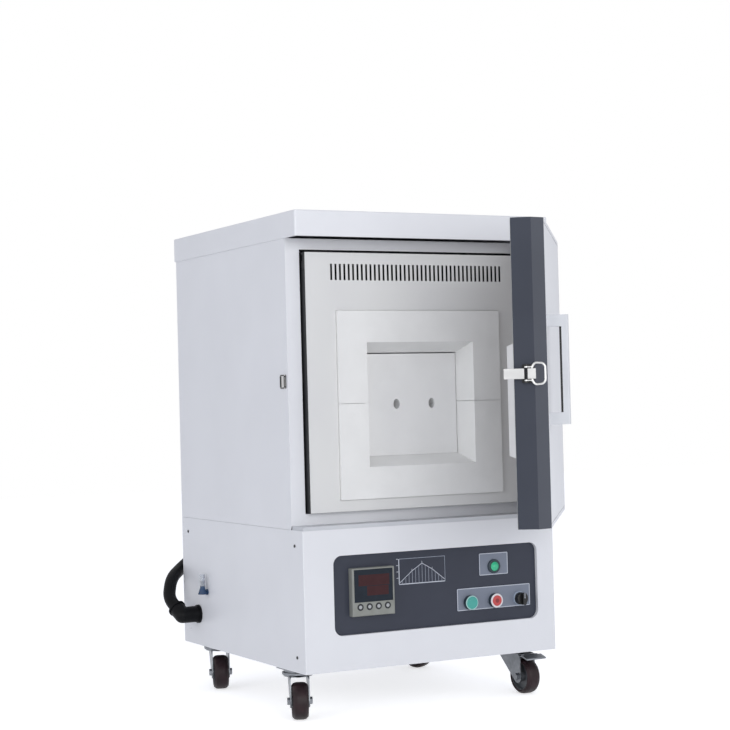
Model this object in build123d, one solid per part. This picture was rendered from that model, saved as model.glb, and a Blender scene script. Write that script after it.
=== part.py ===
from build123d import *
import os
from math import acos, cos, radians, sin, tan

# Front-loading muffle furnace on casters: a steel base with the controls and transformer,
# an insulated upper cabinet with a refractory mouth, and a side-hung door with its own plug.
# Millimetres. +Z up, +Y towards the back, +X to the right seen from the front.
# The origin lies on the floor, under the middle of the cabinet.

# ---- cabinet ----
width = 590.0
depth = 638.0
sheet = 2.0                 # sheet steel of all the casings
caster_height = 100.0
base_height = 283.0
sill_height = 8.0           # folded tray between the base and the upper cabinet
upper_height = 577.0
set_back = 50.0             # upper cabinet front, behind the base front
cap_height = 52.0
cap_overhang = 3.0
cap_lip = 6.0               # cap front, ahead of the base front
cap_rim = 6.0               # folded edge of the cap, standing on the cabinet
flange = 18.0               # folded inner edges of the casings
seam = 0.5                  # open seam between casings
fit_gap = 0.3               # clearance between neighbouring sheets

# ---- front frame and slotted panel ----
frame_side = 31.6
frame_top = 22.3
frame_bottom = 22.6
frame_return = 24.0
panel_gap = 4.4
panel_top_gap = 6.2
panel_bottom_gap = 1.4
panel_proud = 16.0          # slotted panel, ahead of the front frame
slot_count = 41
slot_pitch = 10.0
slot_width = 4.4
slot_height = 33.0
slot_drop = 39.5            # slot row, below the top of the slotted panel

# ---- refractory ----
mouth_centre_z = 630.0
block_size = 383.0          # refractory front, square
block_proud = 6.0           # ahead of the slotted panel
block_gap = 1.0
mouth_width = 252.0
mouth_height = 254.0
throat_width = 222.0
throat_height = 213.6
recess_depth = 48.0         # from the refractory face to the inner plug
plug_length = 90.0
block_depth = 150.0
block_joint_z = 633.0
chamber_width = 240.0
chamber_height = 226.0
chamber_depth = 306.0
board = 90.0                # fibre board thickness
hearth_thickness = 10.0
element_x = 102.0           # U-shaped heating elements, beside each wall
element_shank = 5.0
element_hot = 3.0
element_spread = 50.0
element_drop = 190.0
sheath_radius = 6.0         # thermocouple sheath
plug_side_gap = 1.5
plug_top_gap = 2.3
finger_hole_width = 15.0
finger_hole_height = 21.0
finger_hole_depth = 30.0
finger_hole_pitch = 84.0
finger_hole_shift = 8.0     # both holes, right of the middle
joint_groove = 0.8          # open joint between the two refractory halves

# ---- door ----
door_thickness = 60.0
door_open = 53.35           # degrees open at rest
door_gap = 2.0              # between the door rim and the front frame
door_sill_gap = 4.5
door_cap_gap = 2.0
door_chamfer = 22.0
door_rim = 29.0
face_margin = 8.0
face_thickness = 3.0
pivot_inset = 4.0           # pivot axis, inside the door's rear corner both ways
door_plug_gap = 2.0
liner_gap = 2.0             # liner pan, ahead of the refractory face
pan_margin = 11.5           # door rim above and below the liner pan

# ---- pivot hinges ----
pin_radius = 2.5
running = 0.05              # radial clearance of every pin in its hole
pivot_block = 14.0          # solid corner of the door round each pin
pivot_height = 20.0
pivot_reach = 15.0          # pin length inside the door
bracket_length = 30.0
bracket_depth = 18.0
bracket_thickness = 3.0     # lower bracket, on the tray
top_bracket = 1.6           # upper bracket, under the cap

# ---- handle ----
handle_x = -239.0
handle_width = 16.0
handle_bar = 13.0
handle_stand = 26.0
handle_bottom_z = 585.0
handle_length = 203.0
post_height = 22.0
grip_insert = 4.0

# ---- latch, on the free edge of the door ----
latch_z = 679.5
latch_pin_radius = 1.5
lever_wire = 2.2
strap_width = 18.8
strap_thickness = 2.0
keeper_height = 5.0

# ---- control fascia ----
window_left = -229.0
window_right = 253.0
window_bottom = 170.0
window_top = 330.0
window_radius = 18.0
fascia_recess = 8.0
fascia_thickness = 3.0
fascia_overlap = 12.0
controller_size = 96.0
controller_x = -143.4
controller_z = 254.75
controller_proud = 8.0      # bezel front, ahead of the base front
controller_body = 90.0
controller_body_depth = 80.0
display_width = 88.0
display_height = 65.5
display_centre_z = 267.25
display_glass = 1.0
key_pitch = 20.7
key_z = 225.0
key_radius = 7.0
key_travel = 0.8
plate_thickness = 1.5
lamp_x = 149.0
lamp_plate_z = 290.3
lamp_z = 285.0
lamp_plate_width = 70.0
plate_height = 46.0
switch_plate_x = 148.0
switch_plate_z = 220.5
switch_plate_width = 178.5
switch_z = 214.0
switch_pitch = 60.5
neck_radius = 12.6          # panel hole of the lamp, buttons and selector
bezel_radius = 14.8
bezel_proud = 4.0
button_radius = 11.0
button_travel = 4.0
button_proud = 11.0         # front ring of the push buttons, ahead of their plate
button_rise = 1.0           # cap ahead of its ring
broad_cap = 12.6            # head of the start button, sunk in its ring
knob_radius = 12.9
skirt_length = 13.0
knob_length = 20.0
lens_radius = 9.8

# ---- casters ----
front_inset_x = 34.0        # swivel axes, from the cabinet sides
rear_inset_x = 54.0
front_inset_y = 108.0
rear_inset_y = 70.0
dish_radius = 33.0          # bearing dish of the fork
caster_trail = 35.0
wheel_radius = 37.5
wheel_width = 32.0
hub_radius = 27.0
axle_radius = 4.0
fork_gap = 35.0
fork_plate = 2.5
caster_plate = 3.0
kingpin_radius = 6.0
brake_reach = 38.0          # brake pin, behind the swivel axis
brake_z = 80.5
brake_pin = 2.5
# direction in which each wheel trails, in degrees from +X
headings = {"front_left": -112.0, "front_right": -88.0, "rear_left": -108.0, "rear_right": -60.0}
braked = ("front_right", "rear_right")

# ---- conduit, side gland and gas inlet ----
conduit_radius = 14.0
gland_y = 229.0
gland_z = 170.0
gland_reach = 40.0          # elbow centre, out from the cabinet side
gland_radius = 18.0
socket_rim = 20.0
cover_depth = 76.0
cover_width = 480.0
cover_bottom = 420.0
cover_height = 470.0
cover_gland_x = -210.0
gas_y = 176.0
gas_z = 222.0
gas_tube_radius = 6.0
gas_tube_bore = 4.3
gas_tube_length = 26.0

# ---- vents and mains inlet, at the back of the base ----
vent_z = 240.0
vent_pitch = 18.0
mains_inset = 85.0          # mains gland, from the right side
mains_z = 150.0
mains_bore = 7.5

# ---- levels that follow from the sizes above ----
left, right = -width / 2, width / 2
front, back = -depth / 2, depth / 2
base_top = caster_height + base_height
sill_top = base_top + sill_height
upper_top = sill_top + upper_height
cap_top = upper_top + cap_height
frame_face = front + set_back
panel_face = frame_face - panel_proud
block_face = panel_face - block_proud
panel_right = right - frame_side - panel_gap
panel_bottom = sill_top + frame_bottom + panel_bottom_gap
panel_top = upper_top - frame_top - panel_top_gap
plug_face = block_face + recess_depth
slot_centre_z = panel_top - slot_drop
block_back = block_face + block_depth
chamber_back = block_back + chamber_depth
chamber_bottom = mouth_centre_z - chamber_height / 2 + 2.0
chamber_top = chamber_bottom + chamber_height
casing_right = chamber_width / 2 + board
casing_bottom = chamber_bottom - board
casing_top = chamber_top + board
casing_front = frame_face + 22.0
casing_back = chamber_back + board
door_outer = frame_face - door_gap - door_thickness
door_inner = frame_face - door_gap
door_bottom = sill_top + door_sill_gap
door_top = upper_top - door_cap_gap
hinge_x = right - pivot_inset
hinge_y = door_inner - pivot_inset
mains_x = right - mains_inset
liner_face = block_face - liner_gap
fascia_face = front + fascia_recess
fascia_back = fascia_face + fascia_thickness

hinge_axis = Axis((hinge_x, hinge_y, 0), (0, 0, 1))
elbow_centre = (left - gland_reach, gland_y, gland_z)
elbow_direction = (-0.227, 0.785, 0.576)


def block(x0, x1, y0, y1, z0, z1):
    """Rectangular solid between two corners."""
    return Pos((x0 + x1) / 2, (y0 + y1) / 2, (z0 + z1) / 2) * Box(x1 - x0, y1 - y0, z1 - z0)


def rod(radius, length, start, direction):
    """Round bar from a start point along a direction."""
    plane = Plane(origin=start, z_dir=direction)
    return plane * Cylinder(radius, length, align=(Align.CENTER, Align.CENTER, Align.MIN))


def front_plate(face_y, thickness, x_mid, z_mid, size_x, size_z, radius):
    """Plate with rounded corners, facing the front, from its face backwards."""
    outline = Plane(origin=(x_mid, face_y, z_mid), x_dir=(1, 0, 0), z_dir=(0, 1, 0))
    return extrude(outline * RectangleRounded(size_x, size_z, radius), thickness)


def save(node, *solids):
    """Write one node; its solids stay separate."""
    pieces = []
    for solid in solids:
        pieces += list(solid.solids())
    whole = pieces[0] if len(pieces) == 1 else Compound(children=pieces)
    export_step(whole, f"parts/{node}.step")


def save_on_door(node, *solids):
    """Door pieces are drawn closed and swung open about the hinge axis."""
    save(node, *[solid.rotate(hinge_axis, door_open) for solid in solids])


# ---------------------------------------------------------------- base cabinet
def base_cabinet():
    shell = block(left, right, front, back, caster_height, base_top)
    shell = fillet(shell.edges().filter_by(Axis.Z), sheet)
    shell -= block(left + sheet, right - sheet, front + sheet, back - sheet,
                   caster_height + sheet, base_top - sheet)
    shell -= block(left + flange, right - flange, front + flange, back - flange,
                   base_top - 2 * sheet, base_top + sheet)
    # control window, with its edge folded inwards as far as the fascia
    window_x = (window_left + window_right) / 2
    window_z = (window_bottom + window_top) / 2
    wide = window_right - window_left
    high = window_top - window_bottom
    shell += front_plate(front, fascia_recess, window_x, window_z,
                         wide + 2 * sheet, high + 2 * sheet, window_radius + sheet)
    shell -= front_plate(front - sheet, fascia_recess + 2 * sheet, window_x, window_z,
                         wide, high, window_radius)
    # holes for the side gland, the gas inlet and the mains gland
    shell -= rod(gland_radius - 4, 3 * sheet, (left - sheet, gland_y, gland_z), (1, 0, 0))
    shell -= rod(4.0, 3 * sheet, (left - sheet, gas_y, gas_z + 1.0), (1, 0, 0))
    shell -= rod(mains_bore + 4.5, 3 * sheet, (mains_x, back + sheet, mains_z), (0, -1, 0))
    # vent slots in the back
    for slot_x in (-110.0, 0.0, 110.0):
        for row in range(-3, 4):
            slot_z = vent_z + vent_pitch * row
            shell -= block(slot_x - 40, slot_x + 40, back - 2 * sheet, back + sheet,
                           slot_z - 3, slot_z + 3)
    return shell


def sill_tray():
    inset = sheet + fit_gap
    tray = block(left + inset, right - inset, front + 1.0, back - inset, base_top, sill_top)
    return tray - block(left + inset + sheet, right - inset - sheet, front + 1.0 + sheet,
                        back - inset - sheet, base_top - sheet, sill_top - sheet)


def side_screws():
    """Pan-head screws along the lower side panels."""
    heads = []
    for side in (left, right):
        outward = (-1, 0, 0) if side < 0 else (1, 0, 0)
        for y in (front + 37.5, back - 37.5):
            for z in (caster_height + 30.0, base_top - 31.0):
                head = rod(3.2, 1.6, (side, y, z), outward)
                heads.append(fillet(head.edges().group_by(Axis.X)[0 if side < 0 else -1], 0.9))
    return heads


# ---------------------------------------------------------------- inside the base
def transformer():
    """Laminated three-limb core on its two feet, with a coil round each limb."""
    floor = caster_height + sheet
    core_bottom = floor + 12.0
    core = block(-90, 90, 20, 80, core_bottom, core_bottom + 150)
    for x in (-42, 42):
        core -= block(x - 24, x + 24, 0, 100, core_bottom + 30, core_bottom + 120)
    feet = block(-90, -66, 0, 100, floor, core_bottom) + block(66, 90, 0, 100, floor, core_bottom)
    coils = []
    for x in (-78, 0, 78):
        limb_half = 12.0 if x else 18.0
        coil = block(x - limb_half - 10, x + limb_half + 10, 8, 92,
                     core_bottom + 34, core_bottom + 116)
        coil -= block(x - limb_half, x + limb_half, 20, 80, core_bottom, core_bottom + 150)
        coils.append(coil)
    return core + feet, coils


# ---------------------------------------------------------------- upper cabinet
def upper_shell():
    """Two sides and the back, with folded edges that stand on the tray and carry the cap."""
    y0 = frame_face + sheet
    z0 = base_top + seam
    shell = block(left, right, y0, back, z0, upper_top)
    shell = fillet(shell.edges().filter_by(Axis.Z).group_by(Axis.Y)[-1], sheet)
    shell -= block(left + sheet, right - sheet, y0 - sheet, back - sheet, z0 - sheet, sill_top)
    shell -= block(left + sheet, right - sheet, y0 - sheet, back - sheet,
                   sill_top + sheet, upper_top - sheet)
    shell -= block(left + flange, right - flange, y0 - sheet, back - flange,
                   sill_top - sheet, upper_top + sheet)
    shell -= rod(9.0, 3 * sheet, (0, back + sheet, mouth_centre_z), (0, -1, 0))
    return shell


def front_frame():
    """Face frame with its inner edge folded backwards."""
    x_in = right - frame_side
    z_low = sill_top + frame_bottom
    z_high = upper_top - frame_top
    ring = block(left, right, frame_face, frame_face + sheet, sill_top, upper_top)
    ring += block(-x_in - sheet, x_in + sheet, frame_face, frame_face + frame_return,
                  z_low - sheet, z_high + sheet)
    return ring - block(-x_in, x_in, frame_face - sheet, frame_face + 2 * frame_return,
                        z_low, z_high)


def slotted_panel():
    """Pan-shaped inner panel: vent slots above, square cut-out for the refractory."""
    pan = block(-panel_right, panel_right, panel_face, casing_front, panel_bottom, panel_top)
    pan -= block(-panel_right + sheet, panel_right - sheet, panel_face + sheet,
                 casing_front + sheet, panel_bottom + sheet, panel_top - sheet)
    half = block_size / 2 + block_gap
    pan -= block(-half, half, panel_face - sheet, panel_face + 2 * sheet,
                 mouth_centre_z - half, mouth_centre_z + half)
    for k in range(slot_count):
        x = (k - (slot_count - 1) / 2) * slot_pitch
        pan -= block(x - slot_width / 2, x + slot_width / 2, panel_face - sheet,
                     panel_face + 2 * sheet, slot_centre_z - slot_height / 2,
                     slot_centre_z + slot_height / 2)
    return pan


def switch_lug():
    """Small black slotted lug on the left side of the inner panel."""
    lug = block(-panel_right - 1.5, -panel_right, panel_face + 0.5, panel_face + 23,
                panel_top - 34, panel_top - 1)
    lug = fillet(lug.edges().filter_by(Axis.X).group_by(Axis.Z)[-1], 4.0)
    hole = Plane(origin=(-panel_right - 3, panel_face + 9, panel_top - 12),
                 x_dir=(0, 0, 1), z_dir=(1, 0, 0)) * SlotOverall(13.0, 6.0)
    return lug - extrude(hole, 6.0)


def inner_casing():
    """Inner steel box round the insulation, with a flange behind the slotted panel."""
    box = block(-casing_right - sheet, casing_right + sheet, casing_front, casing_back + sheet,
                casing_bottom - sheet, casing_top + sheet)
    box += block(-panel_right, panel_right, casing_front, casing_front + sheet,
                 panel_bottom, panel_top)
    box -= block(-casing_right, casing_right, casing_front - sheet, casing_back,
                 casing_bottom, casing_top)
    vent_low = casing_top + 2 * sheet
    box -= block(-panel_right + 30, panel_right - 30, casing_front - sheet,
                 casing_front + 2 * sheet, vent_low + 8, panel_top - 12)
    for x, y in element_places():
        for leg in (-element_spread / 2, element_spread / 2):
            box -= rod(element_shank + 3.0, 6 * sheet, (x, y + leg, casing_top - sheet), (0, 0, 1))
    return box - rod(8.0, 6 * sheet, (0, casing_back + 3 * sheet, mouth_centre_z), (0, -1, 0))


def casing_rails():
    rails = []
    for x in (-150, 150):
        rail = block(x - 20, x + 20, casing_front + 40, casing_back, sill_top, casing_bottom - sheet)
        rail -= block(x - 20 + sheet, x + 20 - sheet, casing_front, casing_back + 40,
                      sill_top + sheet, casing_bottom - 2 * sheet)
        rails.append(rail)
    return rails


def mouth_blocks():
    """Refractory front in two halves: a tapered mouth that ends in a straight throat."""
    whole = block(-block_size / 2, block_size / 2, block_face, panel_face + 2 * sheet,
                  mouth_centre_z - block_size / 2, mouth_centre_z + block_size / 2)
    whole += block(-casing_right, casing_right, panel_face + sheet, block_back,
                   casing_bottom, casing_top)
    plane = Plane(origin=(0, block_face, mouth_centre_z), x_dir=(1, 0, 0), z_dir=(0, 1, 0))
    deep = plane.offset(recess_depth)
    taper = loft([(plane * Rectangle(mouth_width, mouth_height)).face(),
                  (deep * Rectangle(throat_width, throat_height)).face()])
    throat = extrude(deep * Rectangle(throat_width, throat_height), block_depth)
    whole -= taper + throat
    # narrow open joint on the face and along the jambs
    for reach_x, y_end in ((block_size / 2 + 1, block_face + 8), (mouth_width / 2 + 3, plug_face + 12)):
        whole -= block(-reach_x, reach_x, block_face - 1, y_end,
                       block_joint_z - joint_groove / 2, block_joint_z + joint_groove / 2)
    top = upper_top
    half = casing_right + sheet
    upper = whole & block(-half, half, block_face - 1, block_back + 1, block_joint_z, top)
    lower = whole & block(-half, half, block_face - 1, block_back + 1, sill_top, block_joint_z)
    return upper, lower


def inner_plug():
    """Loose refractory block that closes the throat, with two finger holes."""
    half_x = throat_width / 2 - plug_side_gap
    z0 = mouth_centre_z - throat_height / 2 + fit_gap
    z1 = mouth_centre_z + throat_height / 2 - plug_top_gap
    plug = block(-half_x, half_x, plug_face, plug_face + plug_length, z0, z1)
    for side in (-0.5, 0.5):
        x = finger_hole_shift + side * finger_hole_pitch
        face = Plane(origin=(x, plug_face, mouth_centre_z), x_dir=(1, 0, 0), z_dir=(0, 1, 0))
        plug -= extrude(face * Ellipse(finger_hole_width / 2, finger_hole_height / 2),
                        finger_hole_depth)
    return plug


def chamber_boards():
    """Fibre boards: floor and roof across the full width, sides and back between them."""
    half = chamber_width / 2
    floor = block(-casing_right, casing_right, block_back, casing_back,
                  casing_bottom, chamber_bottom)
    roof = block(-casing_right, casing_right, block_back, casing_back, chamber_top, casing_top)
    sides = [block(s * half if s > 0 else -casing_right, casing_right if s > 0 else -half,
                   block_back, casing_back, chamber_bottom, chamber_top) for s in (-1, 1)]
    rear = block(-half, half, chamber_back, casing_back, chamber_bottom, chamber_top)
    rear -= rod(sheath_radius + running, 2 * board,
                (0, chamber_back - board / 2, mouth_centre_z), (0, 1, 0))
    for x, y in element_places():
        for leg in (-element_spread / 2, element_spread / 2):
            roof -= rod(element_shank + running, 2 * board, (x, y + leg, chamber_top - 10),
                        (0, 0, 1))
    return floor, roof, sides, rear


def element_places():
    """Two elements along each side wall."""
    return [(x, chamber_back - chamber_depth * share)
            for x in (-element_x, element_x) for share in (0.27, 0.73)]


def heating_elements():
    """U-shaped elements that hang through the roof, thicker where they pass the board."""
    elements = []
    for x, y in element_places():
        r = element_spread / 2
        bend_z = chamber_top - element_drop + r
        hot_top = chamber_top - 8.0
        path = Polyline((x, y - r, hot_top), (x, y - r, bend_z))
        path += ThreePointArc((x, y - r, bend_z), (x, y, bend_z - r), (x, y + r, bend_z))
        path += Polyline((x, y + r, bend_z), (x, y + r, hot_top))
        wire = Wire(path.edges())
        section = Plane(origin=(x, y - r, hot_top), z_dir=(0, 0, -1)) * Circle(element_hot)
        element = sweep(section, path=wire)
        for leg in (-r, r):
            element += rod(element_shank, board + sheet + 38.0, (x, y + leg, hot_top), (0, 0, 1))
        elements.append(element)
    return elements


def hearth_plate():
    x = chamber_width / 2 - 30.0
    return block(-x, x, block_back + 2.0, chamber_back - 4.0,
                 chamber_bottom, chamber_bottom + hearth_thickness)


def thermocouple():
    """Ceramic sheath through the back wall, with its connection head behind the cabinet."""
    sheath = rod(sheath_radius, back - chamber_back + 50.0,
                 (0, chamber_back - 40.0, mouth_centre_z), (0, 1, 0))
    head = rod(16.0, 24.0, (0, back + 10.0, mouth_centre_z), (0, 1, 0))
    return sheath + head


def rear_cover():
    """Terminal cover on the back of the upper cabinet, open towards the cabinet."""
    half = cover_width / 2
    cover = block(-half, half, back, back + cover_depth, cover_bottom, cover_bottom + cover_height)
    cover = chamfer(cover.edges().filter_by(Axis.X).group_by(Axis.Z)[-1].group_by(Axis.Y)[-1], 30)
    inner = block(-half + sheet, half - sheet, back - 1, back + cover_depth - sheet,
                  cover_bottom + sheet, cover_bottom + cover_height - sheet)
    inner = chamfer(inner.edges().filter_by(Axis.X).group_by(Axis.Z)[-1].group_by(Axis.Y)[-1], 30)
    cover -= inner
    for row in range(6):
        z = cover_bottom + 90 + 16 * row
        for x in (-110, 0, 110):
            cover -= block(x - 40, x + 40, back + cover_depth - 2 * sheet,
                           back + cover_depth + sheet, z - 2.5, z + 2.5)
    return cover - rod(conduit_radius + 1.5, 3 * sheet,
                       (cover_gland_x, back + cover_depth / 2, cover_bottom - sheet), (0, 0, 1))


def top_cap():
    """Lid with folded sides, open below; its front lip stands over the door."""
    x1 = right + cap_overhang
    y0 = front - cap_lip
    y1 = back + cap_overhang
    cap = block(-x1, x1, y0, y1, upper_top, cap_top)
    cap = fillet(cap.edges().filter_by(Axis.Z), 4.0)
    cap = fillet(cap.edges().group_by(Axis.Z)[-1], 2.5)
    return cap - block(-x1 + cap_rim, x1 - cap_rim, y0 + cap_rim, y1 - cap_rim,
                       upper_top - 1, cap_top - sheet)


# ---------------------------------------------------------------- door
def door_section(inset):
    """Plan outline of the door, with chamfered front corners."""
    x = right - inset
    y0 = door_outer + inset
    y1 = door_inner - inset
    cut = door_chamfer - 0.4 * inset
    return Polyline((-x, y1), (-x, y0 + cut), (-x + cut, y0), (x - cut, y0), (x, y0 + cut),
                    (x, y1), close=True)


def door_shell():
    outer = extrude(Pos(0, 0, door_bottom) * make_face(door_section(0)), door_top - door_bottom)
    inner = extrude(Pos(0, 0, door_bottom + sheet) * make_face(door_section(sheet)),
                    door_top - door_bottom - 2 * sheet)
    shell = outer - inner
    # opening for the liner pan
    x = right - door_rim
    shell -= block(-x, x, door_inner - 2 * sheet, door_inner + sheet,
                   door_bottom + pan_margin, door_top - pan_margin)
    # the face panel lies in a shallow recess, backed by the front web
    x_face = right - door_chamfer
    web = block(-x_face, x_face, door_outer, door_outer + face_thickness + sheet,
                door_bottom, door_top)
    shell += web
    for corner in pivot_corners():
        shell -= corner
    return shell - block(-x_face + 1, x_face - 1, door_outer - 1, door_outer + face_thickness,
                         door_bottom + face_margin, door_top - face_margin)


def door_panel():
    x = right - door_chamfer - 1 - fit_gap
    panel = block(-x, x, door_outer, door_outer + face_thickness,
                  door_bottom + face_margin + fit_gap, door_top - face_margin - fit_gap)
    return fillet(panel.edges().group_by(Axis.Y)[0], 0.8)


def door_liner():
    """Pan that clears the slotted panel and carries the refractory plug."""
    x = right - door_rim
    z0 = door_bottom + pan_margin
    z1 = door_top - pan_margin
    pan = block(-x, x, liner_face - sheet, door_inner, z0, z1)
    return pan - block(-x + sheet, x - sheet, liner_face, door_inner + sheet,
                       z0 + sheet, z1 - sheet)


def door_plug():
    """Tapered plug that fills the mouth in front of the inner plug."""
    reach = recess_depth - door_plug_gap
    shrink_x = (mouth_width - throat_width) * reach / recess_depth
    shrink_z = (mouth_height - throat_height) * reach / recess_depth
    wide = mouth_width - 2 * door_plug_gap
    high = mouth_height - 2 * door_plug_gap
    root = Plane(origin=(0, block_face, mouth_centre_z), x_dir=(1, 0, 0), z_dir=(0, 1, 0))
    tip = root.offset(reach)
    plug = loft([(root * Rectangle(wide, high)).face(),
                 (tip * Rectangle(wide - shrink_x, high - shrink_z)).face()])
    return plug + block(-wide / 2, wide / 2, liner_face, block_face,
                        mouth_centre_z - high / 2, mouth_centre_z + high / 2)


def door_gasket():
    """Sealing strip round the door rim."""
    x = right - 14.0
    z0, z1 = door_bottom + 2.5, door_top - 2.5
    ring = block(-x, x, door_inner, door_inner + door_gap - fit_gap, z0, z1)
    return ring - block(-x + 8, x - 8, door_inner - 1, door_inner + door_gap + 1, z0 + 6, z1 - 6)


def handle():
    """Square bar handle on two end posts."""
    x0, x1 = handle_x - handle_width / 2, handle_x + handle_width / 2
    z0, z1 = handle_bottom_z, handle_bottom_z + handle_length
    y_bar = door_outer - handle_stand
    bar = block(x0, x1, y_bar - handle_bar, door_outer, z0, z1)
    bar -= block(x0 - 1, x1 + 1, y_bar, door_outer + 1, z0 + post_height, z1 - post_height)
    outer = bar.edges().filter_by(Axis.Z).group_by(Axis.Y)[0]
    return fillet(outer, 3.0)


def handle_grip():
    x0, x1 = handle_x - handle_width / 2 + 1, handle_x + handle_width / 2 - 1
    y_bar = door_outer - handle_stand
    z0 = handle_bottom_z + post_height + fit_gap
    z1 = handle_bottom_z + handle_length - post_height - fit_gap
    return block(x0, x1, y_bar, y_bar + grip_insert, z0, z1)


def pivot_corners():
    """Solid corners of the door, below and above, that take the pivot pins."""
    return [block(right - pivot_block, right, door_inner - pivot_block, door_inner, z, z + pivot_height)
            for z in (door_bottom, door_top - pivot_height)]


def hinge_halves():
    """Brackets on the tray and under the cap, their pins, and the door's drilled corners."""
    x0 = right - bracket_length
    y0 = frame_face - bracket_depth
    low_top = sill_top + bracket_thickness
    high_bottom = upper_top - top_bracket
    brackets = []
    for z0, z1 in ((sill_top, low_top), (high_bottom, upper_top)):
        plate = block(x0, right, y0, frame_face, z0, z1)
        brackets.append(fillet(plate.edges().filter_by(Axis.Z).group_by(Axis.Y)[0], 5.0))
    pins = [rod(pin_radius, door_bottom + pivot_reach - low_top, (hinge_x, hinge_y, low_top), (0, 0, 1)),
            rod(pin_radius, high_bottom - door_top + pivot_reach, (hinge_x, hinge_y, high_bottom),
                (0, 0, -1))]
    bore = rod(pin_radius + running, upper_height, (hinge_x, hinge_y, sill_top), (0, 0, 1))
    return brackets, [corner - bore for corner in pivot_corners()], pins


# ---------------------------------------------------------------- latch
# The lever turns on pin A in the base lugs; the hook hangs on pin B of the lever.
pin_a = (left - 6.6, frame_face - 24.5)
pin_b = (left - 6.6, frame_face - 35.5)
bail_front = frame_face - 59.5


def latch_base():
    plate = block(left - 2, left, frame_face - 39, frame_face - 16.5, latch_z - 17, latch_z + 17)
    plate = fillet(plate.edges().filter_by(Axis.X), 3.0)
    for side in (-1, 1):
        z0 = latch_z + side * 15.5 - 1.5
        lug = block(left - 7.5, left - 1, pin_a[1] - 5, pin_a[1] + 5, z0, z0 + 3)
        lug += rod(4.5, 3, (pin_a[0], pin_a[1], z0), (0, 0, 1))
        plate += lug
    plate += rod(latch_pin_radius, 31, (pin_a[0], pin_a[1], latch_z - 15.5), (0, 0, 1))
    return plate


def latch_lever():
    """Wire bail with a flat eye each side, and the cross pin that carries the hook."""
    x = pin_a[0]
    eye_z = 12.3
    lever = None
    for side in (-1, 1):
        z0 = latch_z + side * eye_z - 1.1
        eye = rod(3.6, 2.2, (x, pin_a[1], z0), (0, 0, 1))
        eye += block(x - 2.2, x + 2.2, pin_b[1] - 3, pin_a[1], z0, z0 + 2.2)
        eye += rod(3.0, 2.2, (x, pin_b[1], z0), (0, 0, 1))
        eye -= rod(latch_pin_radius + running, 6, (x, pin_a[1], z0 - 2), (0, 0, 1))
        lever = eye if lever is None else lever + eye
    lever += rod(latch_pin_radius, 2 * eye_z, (x, pin_b[1], latch_z - eye_z), (0, 0, 1))
    y0 = pin_b[1]
    route = [(x, y0, latch_z - 12.3), (x, y0 - 5, latch_z - 20), (x, bail_front, latch_z - 18.5),
             (x, bail_front, latch_z + 18.5), (x, y0 - 5, latch_z + 20), (x, y0, latch_z + 12.3)]
    start = Plane(origin=route[0], z_dir=Vector(*route[1]) - Vector(*route[0]))
    return lever + sweep(start * Circle(lever_wire), path=rounded_path(route))


def latch_hook():
    """Flat strap that passes over pin A from a knuckle on pin B, with a lip at its end."""
    half = strap_width / 2
    x_out = pin_a[0] - 3.0
    z0 = latch_z - half
    strap = block(x_out - strap_thickness, x_out, pin_b[1] - 7, frame_face + 16, z0, z0 + strap_width)
    strap += block(x_out - 1, left - keeper_height - fit_gap, frame_face + 13.5,
                   frame_face + 16, z0 + 1, z0 + strap_width - 1)
    bead = rod(3.5, strap_width, (x_out - 1, pin_a[1], z0), (0, 0, 1))
    strap += bead & block(x_out - 8, x_out - 0.5, bail_front, frame_face, z0, z0 + strap_width)
    knuckle = rod(4.0, strap_width, (pin_b[0], pin_b[1], z0), (0, 0, 1))
    return strap + knuckle - rod(latch_pin_radius + running, strap_width + 2,
                                 (pin_b[0], pin_b[1], z0 - 1), (0, 0, 1))


def latch_keeper():
    """D-shaped keeper on the cabinet side."""
    z = latch_z + 1
    y0 = frame_face + 8
    plate = block(left - 1.5, left, y0, y0 + 27, z - 14, z + 14)
    plate = fillet(plate.edges().filter_by(Axis.X), 3.0)
    bridge = block(left - keeper_height, left - 1, y0 + 1, y0 + 5, z - 12, z + 12)
    bridge = fillet(bridge.edges().filter_by(Axis.Y).group_by(Axis.X)[0], 2.5)
    return plate + (bridge - block(left - keeper_height + 2, left, y0, y0 + 7, z - 9.5, z + 9.5))


# ---------------------------------------------------------------- controls
def control_fascia():
    x = (window_left + window_right) / 2
    z = (window_bottom + window_top) / 2
    plate = front_plate(fascia_face, fascia_thickness, x, z,
                        window_right - window_left + 2 * fascia_overlap,
                        window_top - window_bottom + 2 * fascia_overlap, 8.0)
    half = controller_body / 2 + fit_gap
    plate -= block(controller_x - half, controller_x + half, fascia_face - 1, fascia_back + 1,
                   controller_z - half, controller_z + half)
    for k in range(-1, 2):
        plate -= rod(neck_radius + fit_gap, 9, (lamp_x + k * switch_pitch, fascia_face - 2, switch_z),
                     (0, 1, 0))
    return plate - rod(neck_radius + fit_gap, 9, (lamp_x, fascia_face - 2, lamp_z), (0, 1, 0))


def controller_case():
    half = controller_size / 2
    y0 = front - controller_proud
    bezel = block(controller_x - half, controller_x + half, y0, fascia_face,
                  controller_z - half, controller_z + half)
    bezel = chamfer(bezel.edges().group_by(Axis.Y)[0], 1.5)
    body = controller_body / 2
    case = bezel + block(controller_x - body, controller_x + body, fascia_face,
                         fascia_face + controller_body_depth,
                         controller_z - body, controller_z + body)
    case -= block(controller_x - display_width / 2, controller_x + display_width / 2, y0 - 1,
                  y0 + 3, display_centre_z - display_height / 2,
                  display_centre_z + display_height / 2)
    for k in range(4):
        x = controller_x + (k - 1.5) * key_pitch
        case -= rod(key_radius + running, 7.0, (x, y0 - 1, key_z), (0, 1, 0))
    return case


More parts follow.
